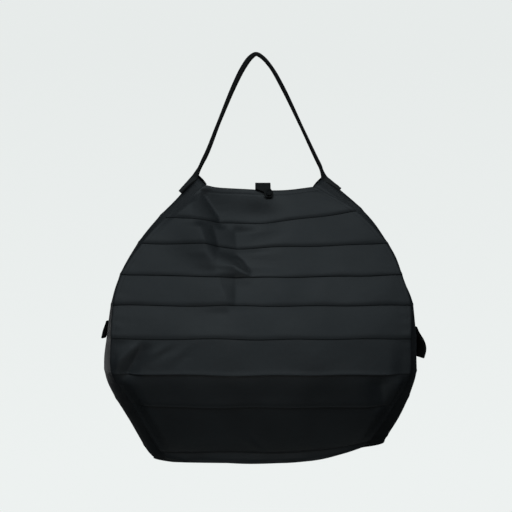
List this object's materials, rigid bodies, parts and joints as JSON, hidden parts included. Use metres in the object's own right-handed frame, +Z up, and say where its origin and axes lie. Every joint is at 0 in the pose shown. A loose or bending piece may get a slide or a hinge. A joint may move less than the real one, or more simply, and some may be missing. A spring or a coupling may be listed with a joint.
{
  "type": "foldable shopping bag",
  "caption": "Foldable cloth shopping bag with horizontally pleated walls, plain gussets and base, a shoulder strap, side pull tabs and a snap tongue over the mouth.",
  "frame": {"origin": "the point under the top of the shoulder strap where the bag hangs", "axes": "+Z up, +X to the right of someone who faces the front with the press stud, +Y from the front to the back"},
  "size_m": [0.4029, 0.1944, 0.5062],
  "materials": {
    "pleated_cloth": "fine plain-woven polyester, slightly glossy, pressed pleats",
    "strap_webbing": "close ribbed webbing with stitched edges",
    "snap_plastic": "satin moulded plastic"
  },
  "bodies": {
    "root": {"front_panel": "pleated_cloth", "back_panel": "pleated_cloth", "gusset_left": "pleated_cloth", "gusset_right": "pleated_cloth", "base_panel": "pleated_cloth", "handle_strap": "strap_webbing", "pull_tab_left": "strap_webbing", "pull_tab_right": "strap_webbing", "closure_tab": "strap_webbing", "snap_cap": "snap_plastic", "snap_socket": "snap_plastic"}
  },
  "joints": []
}
